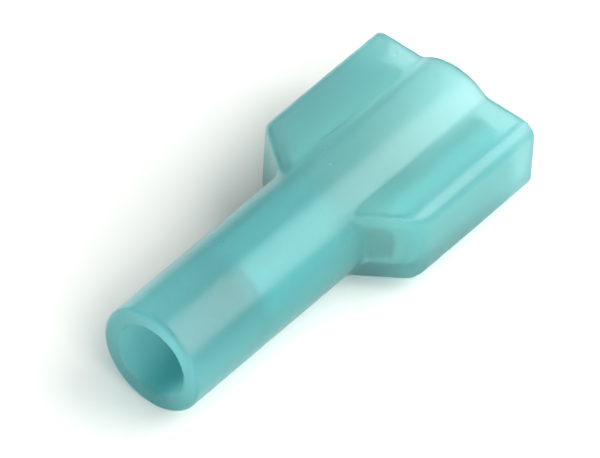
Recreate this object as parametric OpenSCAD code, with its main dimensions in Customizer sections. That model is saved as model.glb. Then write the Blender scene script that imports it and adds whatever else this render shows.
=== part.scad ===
// Fully insulated female spade terminal, for 1.5 to 2.5 mm2 wire and a flat 6.35 x 0.8 mm tab.
// A one-piece moulded nylon housing holds a one-piece receptacle, stamped and rolled from sheet.
// Frame: +X runs from the wire mouth to the tab mouth, +Z is up, +Y is across the wings.
// The origin is the centre of the wire mouth. All sizes are in millimetres.

/* [Housing outside] */
// Whole length, wire mouth to tab mouth
housing_l = 22; // [20:0.5:26]
// Outside diameter of the wire barrel, and of the spine that carries it on through the head
barrel_d = 5.66; // [5.6:0.02:6.4]
// Width of the flat head across both wings
head_w = 9.76; // [9.4:0.02:10.6]
// Thickness of the wings
head_t = 4.16; // [4:0.02:4.8]
// Where the sloped shoulders reach the full width of the head
shoulder_x = 13.8; // [13:0.1:15]
// Slope of the shoulders in plan, measured from the length of the part
shoulder_angle = 52.5; // [45:0.5:60]
// Rounding of the four long edges of the head
edge_r = 0.76; // [0.2:0.02:0.9]
// Rounding of the upright corner between a shoulder and its side
corner_r = 1.2; // [0.4:0.1:2.2]
// Rounding of the upper and lower edge of each shoulder
brow_r = 0.34; // [0.1:0.02:0.5]
// Fillet in the fold between the spine and a wing
fold_r = 0.1; // [0.1:0.05:0.4]
// Rounding of the outer edge of the wire mouth
mouth_r = 0.2; // [0.05:0.05:0.4]

/* [Housing inside] */
// Bore that takes the insulated wire
wire_bore_d = 3.9; // [3.4:0.1:4.4]
// Depth of that bore, up to the funnel
wire_bore_l = 5; // [4:0.1:5.2]
// Length of the funnel that leads the bare strands into the metal barrel
funnel_l = 0.7; // [0.4:0.1:0.8]
// Opening for the receptacle, across the head
cavity_w = 7.72; // [7.64:0.02:7.9]
// Opening for the receptacle, height
cavity_h = 2.9; // [2.82:0.02:3]
// Round way through the head, by which the metal barrel is pushed in, diameter
way_d = 4.2; // [3.4:0.1:4.4]
// Bevel round the tab mouth
lead_in = 0.25; // [0.1:0.05:0.3]

/* [Receptacle] */
// Sheet thickness
sheet_t = 0.4; // [0.3:0.02:0.42]
// Inside diameter of the crimp barrel
crimp_d = 2.3; // [2:0.05:2.4]
// Length of the crimp barrel
crimp_l = 6; // [5:0.1:6.1]
// Gap left in the butted seam of the crimp barrel
seam_gap = 0.1; // [0.05:0.01:0.2]
// Width over the two rolled edges
roll_w = 7.5; // [7.4:0.02:7.6]
// Height over the rolled edges
roll_h = 2.74; // [2.7:0.02:2.8]
// How far the receptacle sits back from the tab mouth
recess = 1; // [0.6:0.1:1.6]
// Flat tab that the receptacle takes, thickness
tab_t = 0.81; // [0.78:0.01:0.86]
// Height of the detent that snaps into the hole in the tab
detent_h = 0.25; // [0.1:0.05:0.3]

/* [Hidden] */
$fn = 64;
nylon = [0.36, 0.67, 0.68];
tinned = [0.78, 0.77, 0.74];
eps = 0.01;
over = 1;                                    // how far a cutter runs past a face

barrel_r = barrel_d / 2;
wing_w = head_w / 2;
wing_t = head_t / 2;
shoulder_run = wing_w / tan(shoulder_angle); // length of a shoulder if it reached the axis
shoulder_x0 = shoulder_x - shoulder_run;     // where its line meets the axis

bore_r = wire_bore_d / 2;
crimp_ri = crimp_d / 2;
crimp_ro = crimp_ri + sheet_t;
seat_x0 = wire_bore_l + funnel_l;            // the metal barrel is seated from here
crimp_x0 = seat_x0;
crimp_x1 = crimp_x0 + crimp_l;
neck_run = 0.5;                              // over this run the neck is drawn in, to meet the floor

wall_t = 0.8;                                // nylon left behind a shoulder
cavity_hw = cavity_w / 2;
cavity_x1 = shoulder_x + wall_t / sin(shoulder_angle) - (wing_w - cavity_hw) / tan(shoulder_angle);
cavity_neck_hw = crimp_ro - 0.3;
cavity_x0 = cavity_x1 - (cavity_hw - cavity_neck_hw) / tan(shoulder_angle);
way_r = way_d / 2;
way_run = way_r - crimp_ro;                  // length of the 45 degree cone where the way opens out
way_x0 = crimp_x1 + 0.3;

roll_hw = roll_w / 2;
roll_hh = roll_h / 2;
roll_x1 = housing_l - recess;
roll_back = cavity_x1 - (cavity_hw - roll_hw) / tan(shoulder_angle);
floor_z = -roll_hh + sheet_t;                // upper face of the receptacle's floor
lip_z = floor_z + tab_t;                     // lower edge of a lip, which bears on the tab
toe_r = 0.6;                                 // outer radius where the floor turns up
crown_r = 1.1;                               // outer radius of the rolled-over edge
crown_y = roll_hw - crown_r;
crown_z = roll_hh - crown_r;
lip_flare = 0.7;                             // how far the lips are cut back at the tab mouth
detent_x = roll_x1 - 3.8;
detent_r = 1.2;

// ---------------------------------------------------------------- helpers

// Turns an outline drawn as (y, z) into a bar along X, from x0 to x1
module bar_x(x0, x1) {
    translate([x0, 0, 0]) rotate([90, 0, 90]) linear_extrude(x1 - x0) children();
}

// Turns an outline drawn as (x, y) into a plate that is centred on Z
module plate_z(t) {
    translate([0, 0, -t / 2]) linear_extrude(t) children();
}

// Turns an outline drawn as (x, z) into a bar along Y that is centred on Y
module bar_y(w) {
    translate([0, w / 2, 0]) rotate([90, 0, 0]) linear_extrude(w) children();
}

// Sets a cylinder or cone, drawn up Z, along X from x0
module lathe_x(x0) {
    translate([x0, 0, 0]) rotate([0, 90, 0]) children();
}

// Rectangle of half sizes a, b with corners of radius r
module soft_rect(a, b, r) {
    square([2 * (a - r), 2 * b], center = true);
    square([2 * a, 2 * (b - r)], center = true);
    for (sx = [-1, 1], sy = [-1, 1]) translate([sx * (a - r), sy * (b - r)]) circle(r);
}

// Quarter of a sheet bend: outer radius ro, opening towards the quadrant (sx, sy)
module quarter_bend(ro, sx, sy) {
    intersection() {
        difference() {
            circle(ro);
            circle(ro - sheet_t);
        }
        scale([sx, sy]) square(ro + eps);
    }
}

// ---------------------------------------------------------------- housing

// Plan of one wing, with a rounded corner where the shoulder meets the side
module wing_plan() {
    half_turn = (180 - shoulder_angle) / 2;
    tangent_l = corner_r / tan(half_turn);
    on_shoulder = [shoulder_x - tangent_l * cos(shoulder_angle), wing_w - tangent_l * sin(shoulder_angle)];
    on_side = [shoulder_x + tangent_l, wing_w];
    polygon([[shoulder_x0, 0], on_shoulder, on_side, [housing_l, wing_w], [housing_l, 0]]);
    translate([shoulder_x + tangent_l, wing_w - corner_r]) circle(corner_r);
}

// Bar that follows one shoulder and rounds its upper and lower edges
module brow() {
    depth = housing_l;
    translate([shoulder_x0, 0, 0]) rotate([0, 0, shoulder_angle])
        translate([-depth, 0, 0]) rotate([90, 0, 90]) linear_extrude(3 * depth)
            translate([-depth, 0]) soft_rect(depth, wing_t, brow_r);
}

// One flat wing of the head
module wing() {
    intersection() {
        bar_x(shoulder_x0, housing_l) soft_rect(wing_w, wing_t, edge_r);
        plate_z(head_t) wing_plan();
        brow();
    }
}

// Outline of the fillet in one fold, between the round spine and the flat of a wing
module fold_outline() {
    centre_z = wing_t + fold_r;
    centre_y = sqrt(pow(barrel_r + fold_r, 2) - pow(centre_z, 2));
    touch = [centre_y, centre_z] * barrel_r / (barrel_r + fold_r);
    difference() {
        polygon([touch * 0.9, touch, [centre_y, centre_z], [centre_y, wing_t - edge_r]]);
        translate([centre_y, centre_z]) circle(fold_r);
    }
}

// The fillet along one fold, cut off flush with the shoulder
module fold() {
    intersection() {
        bar_x(shoulder_x0, housing_l) fold_outline();
        plate_z(barrel_d) wing_plan();
    }
}

// Barrel and spine: one round bar, with the outer edge of its wire mouth rounded
module barrel() {
    lathe_x(0) rotate_extrude() {
        square([barrel_r - mouth_r, housing_l]);
        translate([0, mouth_r]) square([barrel_r, housing_l - mouth_r]);
        translate([barrel_r - mouth_r, mouth_r]) circle(mouth_r);
    }
}

// Room for the wire, the funnel, the seat of the metal barrel and its way in through the head
module wire_way() {
    front_r = way_r + lead_in + over;
    lathe_x(0) rotate_extrude() polygon([
        [0, -over], [bore_r, -over], [bore_r, wire_bore_l], [crimp_ri, seat_x0],
        [crimp_ro, seat_x0], [crimp_ro, way_x0], [way_r, way_x0 + way_run],
        [way_r, housing_l - lead_in], [front_r, housing_l + over], [0, housing_l + over]]);
}

// Room for the receptacle, with sloped shoulders of its own and a bevelled tab mouth
module tab_way() {
    plate_z(cavity_h) polygon([
        [cavity_x0, -cavity_neck_hw], [cavity_x1, -cavity_hw], [housing_l + over, -cavity_hw],
        [housing_l + over, cavity_hw], [cavity_x1, cavity_hw], [cavity_x0, cavity_neck_hw]]);
    intersection() {
        bar_y(head_w) bevel_outline(cavity_h / 2);
        plate_z(head_t) bevel_outline(cavity_hw);
    }
}

// Opening that widens by lead_in over its last stretch, and on past the end face
module bevel_outline(half) {
    wide = half + lead_in + over;
    polygon([[housing_l - lead_in, -half], [housing_l + over, -wide],
             [housing_l + over, wide], [housing_l - lead_in, half]]);
}

module housing() {
    color(nylon) difference() {
        union() {
            barrel();
            for (side = [0, 1]) mirror([0, side, 0]) {
                wing();
                for (face = [0, 1]) mirror([0, 0, face]) fold();
            }
        }
        wire_way();
        tab_way();
    }
}

// ---------------------------------------------------------------- terminal

// Section of the receptacle's floor and one rolled edge
module roll_outline() {
    toe_y = roll_hw - toe_r;
    toe_z = -roll_hh + toe_r;
    translate([0, -roll_hh]) square([toe_y, sheet_t]);
    translate([toe_y, toe_z]) quarter_bend(toe_r, 1, -1);
    translate([roll_hw - sheet_t, toe_z]) square([sheet_t, crown_z - toe_z]);
    translate([crown_y, crown_z]) {
        quarter_bend(crown_r, 1, 1);
        quarter_bend(crown_r, -1, 1);
    }
    translate([crown_y - crown_r, lip_z]) square([sheet_t, crown_z - lip_z]);
}

// Plan of the receptacle: it narrows to the neck parallel with the shoulders
module receptacle_plan() {
    polygon([[cavity_x0, -cavity_neck_hw], [roll_back, -roll_hw], [roll_x1, -roll_hw],
             [roll_x1, roll_hw], [roll_back, roll_hw], [cavity_x0, cavity_neck_hw]]);
}

// Cutter that trims the front of one lip back at a slant, to guide the tab in
module lip_trim() {
    inner_y = crown_y - crown_r - eps;
    outer_y = crown_y;
    translate([0, 0, lip_z - eps]) linear_extrude(crown_z - lip_z + eps)
        polygon([[roll_x1 - lip_flare, inner_y], [roll_x1 + over, inner_y],
                 [roll_x1 + over, outer_y], [roll_x1, outer_y]]);
}

// Rolled receptacle with its detent, which is pressed up from below
module receptacle() {
    difference() {
        union() {
            intersection() {
                bar_x(cavity_x0 - over, roll_x1) {
                    roll_outline();
                    mirror([1, 0]) roll_outline();
                }
                plate_z(roll_h + eps) receptacle_plan();
            }
            intersection() {
                translate([detent_x, 0, floor_z + detent_h - detent_r]) sphere(detent_r);
                translate([detent_x, 0, floor_z]) cube([4, 4, 2 * sheet_t], center = true);
            }
        }
        translate([detent_x, 0, -roll_hh + detent_h - detent_r]) sphere(detent_r);
        for (side = [0, 1]) mirror([0, side, 0]) lip_trim();
    }
}

// Tube that is crimped on the bare strands, with its seam on top
module crimp_barrel() {
    difference() {
        lathe_x(crimp_x0) cylinder(r = crimp_ro, h = crimp_l);
        lathe_x(crimp_x0 - over) cylinder(r = crimp_ri, h = crimp_l + 2 * over);
        translate([crimp_x0 - over, -seam_gap / 2, 0]) cube([crimp_l + 2 * over, seam_gap, 2 * crimp_ro]);
    }
}

// Trough between the crimp barrel and the receptacle. It is drawn in until its bottom is level with
// the floor, and its sides fall towards the floor.
module neck() {
    x0 = crimp_x1 - eps;
    x1 = x0 + neck_run;
    x2 = roll_back;
    neck_side_z = 0.2;
    intersection() {
        lathe_x(0) rotate_extrude() polygon([
            [crimp_ri, x0], [crimp_ro, x0], [roll_hh, x1], [roll_hh, x2],
            [roll_hh - sheet_t, x2], [roll_hh - sheet_t, x1]]);
        bar_y(3 * crimp_ro) polygon([[x0, -2 * crimp_ro], [x2, -2 * crimp_ro], [x2, floor_z],
                                     [x0, neck_side_z]]);
    }
}

module terminal() {
    color(tinned) {
        crimp_barrel();
        neck();
        receptacle();
    }
}

housing();
terminal();
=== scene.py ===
# %% [markdown]
# # A fully insulated female spade terminal
# This is the small push-on connector at the end of a wire. A wire goes in at the round mouth and
# is crimped; a flat metal tab goes in at the other end. It has two pieces: a housing moulded from
# cloudy teal nylon, and a receptacle stamped and rolled from tinned brass sheet, which only shows
# through the nylon and at the tab mouth.
#
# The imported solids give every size. X runs from the wire mouth to the tab mouth, Z is up, and the
# origin is the centre of the wire mouth.

# %% Load the solids
import math
import bpy
import numpy as np
import openvdb
from mathutils import Matrix, Vector


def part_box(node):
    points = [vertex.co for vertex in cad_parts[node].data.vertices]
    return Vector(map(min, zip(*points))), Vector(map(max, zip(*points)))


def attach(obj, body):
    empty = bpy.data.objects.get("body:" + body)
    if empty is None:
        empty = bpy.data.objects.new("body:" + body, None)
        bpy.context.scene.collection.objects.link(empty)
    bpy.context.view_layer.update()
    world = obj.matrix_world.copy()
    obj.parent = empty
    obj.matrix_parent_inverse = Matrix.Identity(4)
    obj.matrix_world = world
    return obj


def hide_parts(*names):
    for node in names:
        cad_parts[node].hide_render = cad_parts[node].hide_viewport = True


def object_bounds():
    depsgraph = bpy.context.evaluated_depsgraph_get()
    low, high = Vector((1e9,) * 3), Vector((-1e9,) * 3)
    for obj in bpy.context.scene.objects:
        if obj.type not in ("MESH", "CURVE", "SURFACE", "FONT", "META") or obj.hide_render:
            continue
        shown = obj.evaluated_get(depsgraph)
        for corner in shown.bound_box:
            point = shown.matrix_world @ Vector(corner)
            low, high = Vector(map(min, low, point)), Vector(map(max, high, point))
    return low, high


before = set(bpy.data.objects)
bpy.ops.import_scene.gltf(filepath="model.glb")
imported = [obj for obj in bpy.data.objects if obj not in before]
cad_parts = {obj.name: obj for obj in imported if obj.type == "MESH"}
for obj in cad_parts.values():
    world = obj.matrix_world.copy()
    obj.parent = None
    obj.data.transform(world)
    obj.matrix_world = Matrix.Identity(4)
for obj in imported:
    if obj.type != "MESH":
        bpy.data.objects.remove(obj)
cad_low, cad_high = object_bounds()
scene = bpy.context.scene
mm = 0.001
print("solid box in mm:", [round(v / mm, 2) for v in (*cad_low, *cad_high)])

# %% [markdown]
# ## The sizes that the housing is made from
# Length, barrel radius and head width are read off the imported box, so the moulding can't drift
# away from the solids. The rest are the mould's own sizes, in millimetres. A mould cutter rounds
# every outer edge a little, and those small radii are what catches the light.

# %% Sizes
housing_low, housing_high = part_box("housing")
length = housing_high[0] / mm
barrel_r = housing_high[2] / mm
wing_w = housing_high[1] / mm

wing_t = 2.08
shoulder_x = 13.8
shoulder_angle = math.radians(52.5)
corner_r = 1.35
edge_r = 0.76
brow_r = 0.34
fold_r = 0.08
neck_r = 0.22
neck_blend = 0.8
mouth_r = 0.2
rim_r = 0.07

bore_r = 1.95
bore_l = 5.0
crimp_ri = 1.15
seat_x0 = 5.7
seat_r = 1.56
way_x0 = 12.0
way_r = 2.1
lead_in = 0.25
cavity_w = 3.86
cavity_t = 1.45
cavity_x1 = 14.03
cavity_edge_r = 0.25
inner_depth = 0.06
neck_x = shoulder_x - (wing_w - barrel_r) / math.tan(shoulder_angle)
print("housing:", round(length, 2), "long,", round(2 * barrel_r, 2), "and", round(2 * wing_w, 2), "across")

# %% [markdown]
# ## The camera
# A connector like this is shot from far off with a long lens, so its long edges stay almost
# parallel. The camera looks down on the wire mouth from the left at about 46 degrees, and is
# rolled a few degrees. It is aimed at a point on the axis near the middle of the part, and then
# slid sideways until the part stands where it should in the frame.

# %% Place the camera
camera = bpy.data.objects.new("camera", bpy.data.cameras.new("camera"))
scene.collection.objects.link(camera)
scene.camera = camera
camera.data.sensor_width = 36
camera.data.lens = 655.6
camera.data.clip_start = 0.01
camera.data.clip_end = 10

view_azimuth = math.radians(-142.94)
view_elevation = math.radians(46.27)
view_roll = math.radians(-3.73)
view_distance = 507.5 * mm
aim = Vector((9.905 * mm, 0, 0))
slide_right = 0.542 * mm
slide_down = -0.758 * mm

to_camera = Vector((math.cos(view_elevation) * math.cos(view_azimuth),
                    math.cos(view_elevation) * math.sin(view_azimuth),
                    math.sin(view_elevation)))
level_right = Vector((0, 0, 1)).cross(to_camera).normalized()
level_down = level_right.cross(to_camera)
right = math.cos(view_roll) * level_right + math.sin(view_roll) * level_down
down = math.cos(view_roll) * level_down - math.sin(view_roll) * level_right
place = aim + view_distance * to_camera + slide_right * right + slide_down * down
camera.matrix_world = Matrix.Translation(place) @ Matrix((right, -down, to_camera)).transposed().to_4x4()
print("camera at", [round(v, 3) for v in place], "lens", camera.data.lens)

# %% [markdown]
# ## Helpers for node materials
# Every finish below is a small node graph. One helper makes a material and hands back its nodes,
# and one adds a node with its settings, so that each graph reads as a list.

# %% Material helpers
def new_material(name):
    material = bpy.data.materials.new(name)
    material.use_nodes = True
    tree = material.node_tree
    tree.nodes.clear()
    output = tree.nodes.new("ShaderNodeOutputMaterial")
    return material, tree, output


def add_node(tree, kind, inputs=(), **settings):
    node = tree.nodes.new(kind)
    for setting, value in settings.items():
        setattr(node, setting, value)
    for socket, value in dict(inputs).items():
        if isinstance(value, bpy.types.NodeSocket):
            tree.links.new(value, node.inputs[socket])
        else:
            node.inputs[socket].default_value = value
    return node


# %% [markdown]
# ## The floor
# The part lies on white paper. The paper is a plain diffuse white, a little warm, so what the
# light does on it is real: the shadow, and the tint that the nylon throws. Fine noise gives it
# the slight grain and mottle of paper.

# %% Make the floor
floor_half = 0.8
floor_z = cad_low[2] - 0.02 * mm
floor_mesh = bpy.data.meshes.new("floor")
floor_mesh.from_pydata([(-floor_half, -floor_half, floor_z), (floor_half, -floor_half, floor_z),
                        (floor_half, floor_half, floor_z), (-floor_half, floor_half, floor_z)],
                       [], [(0, 1, 2, 3)])
floor = bpy.data.objects.new("floor", floor_mesh)
scene.collection.objects.link(floor)

paper, tree, output = new_material("paper")
place_of = add_node(tree, "ShaderNodeTexCoord")
mottle = add_node(tree, "ShaderNodeTexNoise",
                  {"Vector": place_of.outputs["Object"], "Scale": 60.0, "Detail": 4.0})
paper_colour = add_node(tree, "ShaderNodeValToRGB", {"Fac": mottle.outputs["Fac"]})
paper_colour.color_ramp.elements[0].color = (0.885, 0.885, 0.85, 1)
paper_colour.color_ramp.elements[1].color = (0.915, 0.915, 0.885, 1)
grain = add_node(tree, "ShaderNodeTexNoise",
                 {"Vector": place_of.outputs["Object"], "Scale": 6000.0, "Detail": 3.0})
relief = add_node(tree, "ShaderNodeBump",
                  {"Height": grain.outputs["Fac"], "Strength": 0.1, "Distance": 0.00002})
diffuse = add_node(tree, "ShaderNodeBsdfDiffuse",
                   {"Color": paper_colour.outputs["Color"], "Roughness": 0.5,
                    "Normal": relief.outputs["Normal"]})
tree.links.new(diffuse.outputs[0], output.inputs["Surface"])
floor_mesh.materials.append(paper)
print("floor at z =", round(floor_z / mm, 3), "mm")

# %% [markdown]
# ## The light
# A dim white sky lights the part from all round, and three square softboxes do the rest. The key
# stands on the right: it draws the pale band along the barrel and throws the shadow to the left.
# The weak fill behind the part puts a faint sheen on its flat tops. The front one reaches into the
# wire mouth and under the right wing. Where the camera sees past the paper, the sky is plain white.

# %% Light the scene
scene.view_settings.view_transform = "Standard"
world = bpy.data.worlds.new("sky")
scene.world = world
world.use_nodes = True
tree = world.node_tree
tree.nodes.clear()
ray = add_node(tree, "ShaderNodeLightPath")
sky = add_node(tree, "ShaderNodeBackground", {"Color": (1, 1, 1, 1), "Strength": 0.42})
white = add_node(tree, "ShaderNodeBackground", {"Color": (1, 1, 1, 1), "Strength": 1})
mix = add_node(tree, "ShaderNodeMixShader",
               {0: ray.outputs["Is Camera Ray"], 1: sky.outputs[0], 2: white.outputs[0]})
output = add_node(tree, "ShaderNodeOutputWorld", {"Surface": mix.outputs[0]})


def softbox(name, azimuth, elevation, distance, size, watts, colour):
    """A square lamp that faces the middle of the part, from the angles given in degrees."""
    azimuth = math.radians(azimuth)
    elevation = math.radians(elevation)
    away = Vector((math.cos(elevation) * math.cos(azimuth),
                   math.cos(elevation) * math.sin(azimuth), math.sin(elevation)))
    lamp = bpy.data.lights.new(name, "AREA")
    lamp.shape = "SQUARE"
    lamp.size = size
    lamp.energy = watts
    lamp.color = colour
    thing = bpy.data.objects.new(name, lamp)
    scene.collection.objects.link(thing)
    thing.location = Vector((length * mm / 2, 0, 0)) + distance * away
    thing.rotation_mode = "QUATERNION"
    thing.rotation_quaternion = away.to_track_quat("Z", "Y")
    return thing


reach = 0.35
key = softbox("key", azimuth=-41.6, elevation=42.4, distance=reach, size=0.35, watts=1.45,
              colour=(1, 1, 1))
fill = softbox("fill", azimuth=37, elevation=46, distance=reach, size=0.3, watts=0.2,
               colour=(0.85, 0.95, 1))
front = softbox("front", azimuth=-118, elevation=30, distance=reach, size=0.3, watts=0.85,
                colour=(0.95, 0.98, 1))
for lamp in (key, fill, front):
    print(lamp.name, "softbox at", [round(v, 3) for v in lamp.location])

# %% [markdown]
# ## The housing as a formula
# The housing is one moulding: a round barrel runs on as a spine through a flat head, and both are
# hollow. Such soft, blended forms are awkward to bevel by hand, because the edges meet at odd
# angles. Instead the form is written as a distance formula, which is negative inside the plastic
# and positive outside it. Two forms are joined or cut with a rounding of any radius, the way a
# mould's fillets are. These two helpers do that.

# %% Joining and cutting with a fillet
def join(a, b, r):
    """Both forms as one, with a fillet of radius r in the fold."""
    return np.maximum(r, np.minimum(a, b)) - np.hypot(np.maximum(r - a, 0), np.maximum(r - b, 0))


def common(a, b, r):
    """The part that both forms share, with its edge rounded to radius r."""
    return np.minimum(-r, np.maximum(a, b)) + np.hypot(np.maximum(r + a, 0), np.maximum(r + b, 0))


print("fillet test:", round(float(join(np.array(0.1), np.array(0.1), fold_r)), 3))

# %% [markdown]
# ## The wings
# In plan each wing has a straight side, a sloped shoulder and a round corner between them. The
# long edges of the head are rounded more than the edges of the shoulders, so the rounding changes
# over the corner.

# %% Wing form
def wings(x, y, z):
    side = np.abs(y) - wing_w
    slope = side * math.cos(shoulder_angle) - (x - shoulder_x) * math.sin(shoulder_angle)
    corner_dx = x - shoulder_x - corner_r * math.tan(shoulder_angle / 2)
    corner_dy = side + corner_r
    at_corner = (corner_dx < 0) & (
        corner_dx * math.cos(shoulder_angle) + corner_dy * math.sin(shoulder_angle) > 0)
    plan = np.where(at_corner, np.hypot(corner_dx, corner_dy) - corner_r, np.maximum(side, slope))
    turn = np.clip(np.arctan2(-corner_dx, corner_dy) / shoulder_angle, 0, 1)
    turn = turn * turn * (3 - 2 * turn)
    return common(plan, np.abs(z) - wing_t, edge_r + (brow_r - edge_r) * turn)


# %% [markdown]
# ## The hollow
# From the wire mouth the hollow is a bore, a funnel, the seat of the metal barrel and a wider
# round way. The flat opening for the receptacle crosses the way, and both have a small bevel at
# the tab mouth. The round part is a turned profile, so its distance is measured to the profile's
# line in the flat, by distance from the axis.

# %% Hollow form
turned = [(-1, 0), (-1, bore_r), (bore_l, bore_r), (seat_x0, crimp_ri), (seat_x0, seat_r),
          (way_x0, seat_r), (way_x0 + way_r - seat_r, way_r), (length - lead_in, way_r),
          (length + 1, way_r + lead_in + 1), (length + 1, 0)]


def to_profile(u, v, corners):
    """Signed distance in the flat to a closed outline, negative inside it."""
    nearest = np.full(u.shape, np.inf)
    inside = np.zeros(u.shape, bool)
    for (u0, v0), (u1, v1) in zip(corners, corners[1:] + corners[:1]):
        du = u1 - u0
        dv = v1 - v0
        along = np.clip(((u - u0) * du + (v - v0) * dv) / (du ** 2 + dv ** 2), 0, 1)
        nearest = np.minimum(nearest, np.hypot(u - u0 - along * du, v - v0 - along * dv))
        if v0 != v1:
            crosses = ((v0 > v) != (v1 > v)) & (u < u0 + (v - v0) * du / dv)
            inside ^= crosses
    return np.where(inside, -nearest, nearest)


def hollow(x, y, z):
    wire_way = to_profile(x, np.hypot(y, z), turned)
    flare = np.maximum(x - (length - lead_in), 0)
    side = np.abs(y) - cavity_w
    slope = side * math.cos(shoulder_angle) - (x - cavity_x1) * math.sin(shoulder_angle)
    plan = np.maximum(np.maximum(side - flare, slope), way_x0 - x)
    tab_way = common(plan, np.abs(z) - cavity_t - flare, cavity_edge_r)
    return join(wire_way, tab_way, 0.05)


def housing_form(x, y, z):
    past_neck = np.clip((x - neck_x) / neck_blend, 0, 1)
    fillet = neck_r + (fold_r - neck_r) * past_neck
    outside = join(np.hypot(y, z) - barrel_r, wings(x, y, z), fillet)
    outside = common(outside, -x, mouth_r)
    outside = common(outside, x - length, rim_r)
    return common(outside, -hollow(x, y, z), rim_r)


print("wall at mid barrel:", round(-2 * float(housing_form(*np.array([[3.0], [0.0], [2.425]]))[0]), 2), "mm")

# %% [markdown]
# ## From formula to mesh
# The formula is sampled on a fine lattice, and a mesh is drawn where it passes through zero. Each
# corner of the mesh is then slid along the slope of the formula until it is exactly on the
# surface, and the slope there becomes its shading normal. The result is smooth in highlights and
# in refraction, and each fillet is real geometry.

# %% Build the housing
spacing = 0.12
margin = 3


def slope_of(form, points):
    step = 0.002
    slope = np.empty_like(points)
    for axis in range(3):
        ahead = points.copy()
        behind = points.copy()
        ahead[:, axis] += step
        behind[:, axis] -= step
        slope[:, axis] = (form(*ahead.T) - form(*behind.T)) / (2 * step)
    return slope


def mesh_of(form, low, high, name):
    counts = [int(math.ceil((h - l) / spacing)) + 2 * margin + 1 for l, h in zip(low, high)]
    start = np.array([(l + h) / 2 - (n - 1) * spacing / 2 for l, h, n in zip(low, high, counts)])
    axes = [start[i] + spacing * np.arange(counts[i]) for i in range(3)]
    x, y, z = np.meshgrid(*axes, indexing="ij")
    lattice = openvdb.FloatGrid()
    lattice.copyFromArray(form(x, y, z).astype(np.float32))
    corners, quads = lattice.convertToQuads(isovalue=0.0)
    points = corners.astype(float) * spacing + start
    for _ in range(5):
        slope = slope_of(form, points)
        points -= slope * (form(*points.T) / np.maximum((slope ** 2).sum(1), 0.1))[:, None]
    normals = slope_of(form, points)
    normals /= np.linalg.norm(normals, axis=1)[:, None]
    first = points[quads[:, 0]]
    across = np.cross(points[quads[:, 2]] - first, points[quads[:, 3]] - points[quads[:, 1]])
    if (across * normals[quads[:, 0]]).sum() < 0:
        quads = quads[:, ::-1]
    mesh = bpy.data.meshes.new(name)
    mesh.from_pydata((points * mm).tolist(), [], quads.tolist())
    mesh.polygons.foreach_set("use_smooth", [True] * len(quads))
    mesh.normals_split_custom_set_from_vertices(normals.tolist())
    return mesh, points


low_mm = [v / mm for v in housing_low]
high_mm = [v / mm for v in housing_high]
housing_mesh, points = mesh_of(housing_form, low_mm, high_mm, "housing_moulding")
inner = housing_mesh.attributes.new("inner", "FLOAT", "POINT")
beyond_bore = np.clip((points[:, 0] - bore_l) / 0.5, 0, 1)
inner.data.foreach_set("value", beyond_bore * np.clip(1 - np.abs(hollow(*points.T)) / inner_depth, 0, 1))
moulding = bpy.data.objects.new("housing_moulding", housing_mesh)
scene.collection.objects.link(moulding)
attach(moulding, "root")
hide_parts("housing")
print("housing mesh:", len(housing_mesh.vertices), "corners,", len(housing_mesh.polygons), "faces")

# %% [markdown]
# ## Teal nylon
# Unfilled nylon is cloudy, not opaque: light goes in, scatters on tiny crystals and comes out
# somewhere else, a little more teal for every millimetre it went. So the bulk of the plastic is a
# real volume, and the skin is a rough dielectric. Part of the teal is in the skin's colour, which
# is deeper on the barrel and paler on the head, with a cloudy border between them; the paler head
# is painted light, standing in for how much brighter the head looks under the lamps. The walls
# of the hollow are rougher than the outside, so the metal shows as a soft patch. Fine scratches run
# along the part, and fine rings run round it, as handling and the mould leave them.

# %% Nylon material
nylon, tree, output = new_material("teal nylon")
place_of = add_node(tree, "ShaderNodeTexCoord")
split = add_node(tree, "ShaderNodeSeparateXYZ", {"Vector": place_of.outputs["Object"]})
inner_mask = add_node(tree, "ShaderNodeAttribute", attribute_name="inner")

clouds = add_node(tree, "ShaderNodeTexNoise",
                  {"Vector": place_of.outputs["Object"], "Scale": 260.0, "Detail": 3.0, "Roughness": 0.6})
drift = add_node(tree, "ShaderNodeMath",
                 {0: clouds.outputs["Fac"], 1: 0.006, 2: split.outputs["X"]}, operation="MULTIPLY_ADD")
along = add_node(tree, "ShaderNodeMapRange",
                 {"Value": drift.outputs[0], "From Min": 0.011, "From Max": 0.019})
# Painted light: the paler end of this ramp lightens the skin on the head, standing in for how bright the
# head looks under the lamps.
skin_tint_and_painted_head_light = add_node(tree, "ShaderNodeValToRGB", {"Fac": along.outputs["Result"]})
skin_tint_and_painted_head_light.color_ramp.elements[0].color = (0.5, 0.95, 0.97, 1)
skin_tint_and_painted_head_light.color_ramp.elements[1].color = (0.62, 0.96, 0.97, 1)

rubs = add_node(tree, "ShaderNodeTexNoise",
                {"Vector": place_of.outputs["Object"], "Scale": 900.0, "Detail": 4.0, "Roughness": 0.7})
outer_polish = add_node(tree, "ShaderNodeMapRange",
                        {"Value": rubs.outputs["Fac"], "From Min": 0.3, "From Max": 0.7,
                         "To Min": 0.27, "To Max": 0.34})
polish = add_node(tree, "ShaderNodeMix",
                  {0: inner_mask.outputs["Fac"], 2: outer_polish.outputs["Result"], 3: 0.6})

stretch_along = add_node(tree, "ShaderNodeVectorMath",
                         {0: place_of.outputs["Object"], 1: (300, 9000, 9000)}, operation="MULTIPLY")
scratches = add_node(tree, "ShaderNodeTexNoise",
                     {"Vector": stretch_along.outputs[0], "Scale": 1.0, "Detail": 2.0})
stretch_round = add_node(tree, "ShaderNodeVectorMath",
                         {0: place_of.outputs["Object"], 1: (4000, 300, 300)}, operation="MULTIPLY")
rings = add_node(tree, "ShaderNodeTexNoise",
                 {"Vector": stretch_round.outputs[0], "Scale": 1.0, "Detail": 2.0})
marks = add_node(tree, "ShaderNodeMath",
                 {0: scratches.outputs["Fac"], 1: rings.outputs["Fac"]}, operation="ADD")
relief = add_node(tree, "ShaderNodeBump",
                  {"Height": marks.outputs[0], "Strength": 0.25, "Distance": 0.000004})

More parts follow.
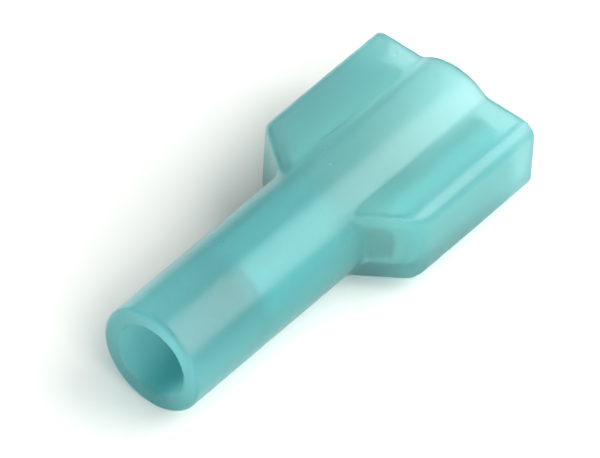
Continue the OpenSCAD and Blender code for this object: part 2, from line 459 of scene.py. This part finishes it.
skin = add_node(tree, "ShaderNodeBsdfPrincipled",
                {"Base Color": skin_tint_and_painted_head_light.outputs["Color"], "Roughness": polish.outputs[0], "IOR": 1.53,
                 "Transmission Weight": 1.0, "Normal": relief.outputs["Normal"]})
absorb = add_node(tree, "ShaderNodeVolumeAbsorption", {"Color": (0.1, 0.99, 0.995, 1), "Density": 330})
scatter = add_node(tree, "ShaderNodeVolumeScatter",
                   {"Color": (1, 1, 1, 1), "Density": 1100, "Anisotropy": 0.5})
bulk = add_node(tree, "ShaderNodeAddShader", {0: absorb.outputs[0], 1: scatter.outputs[0]})
tree.links.new(skin.outputs[0], output.inputs["Surface"])
tree.links.new(bulk.outputs[0], output.inputs["Volume"])
scene.cycles.volume_bounces = 12
housing_mesh.materials.append(nylon)

# %% [markdown]
# ## Tinned brass
# The receptacle is stamped from brass sheet and tinned. Its shape in the solids is right, so it
# only gets a finish: a soft grey metal, slightly warm, with the faint streaks that rolling leaves.

# %% Metal material
tinned, tree, output = new_material("tinned brass")
place_of = add_node(tree, "ShaderNodeTexCoord")
stretch = add_node(tree, "ShaderNodeVectorMath",
                   {0: place_of.outputs["Object"], 1: (400, 5000, 5000)}, operation="MULTIPLY")
streaks = add_node(tree, "ShaderNodeTexNoise", {"Vector": stretch.outputs[0], "Scale": 1.0, "Detail": 4.0})
bloom = add_node(tree, "ShaderNodeTexNoise",
                 {"Vector": place_of.outputs["Object"], "Scale": 500.0, "Detail": 3.0})
tin = add_node(tree, "ShaderNodeValToRGB", {"Fac": bloom.outputs["Fac"]})
tin.color_ramp.elements[0].position = 0.3
tin.color_ramp.elements[0].color = (0.88, 0.84, 0.75, 1)
tin.color_ramp.elements[1].position = 0.7
tin.color_ramp.elements[1].color = (0.94, 0.91, 0.85, 1)
dull = add_node(tree, "ShaderNodeMapRange",
                {"Value": streaks.outputs["Fac"], "From Min": 0.3, "From Max": 0.7,
                 "To Min": 0.45, "To Max": 0.6})
relief = add_node(tree, "ShaderNodeBump",
                  {"Height": streaks.outputs["Fac"], "Strength": 0.3, "Distance": 0.000008})
metal = add_node(tree, "ShaderNodeBsdfPrincipled",
                 {"Base Color": tin.outputs["Color"], "Metallic": 1.0, "Roughness": dull.outputs["Result"],
                  "Normal": relief.outputs["Normal"]})
tree.links.new(metal.outputs[0], output.inputs["Surface"])
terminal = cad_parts["terminal"]
for slot in terminal.material_slots:
    slot.material = tinned
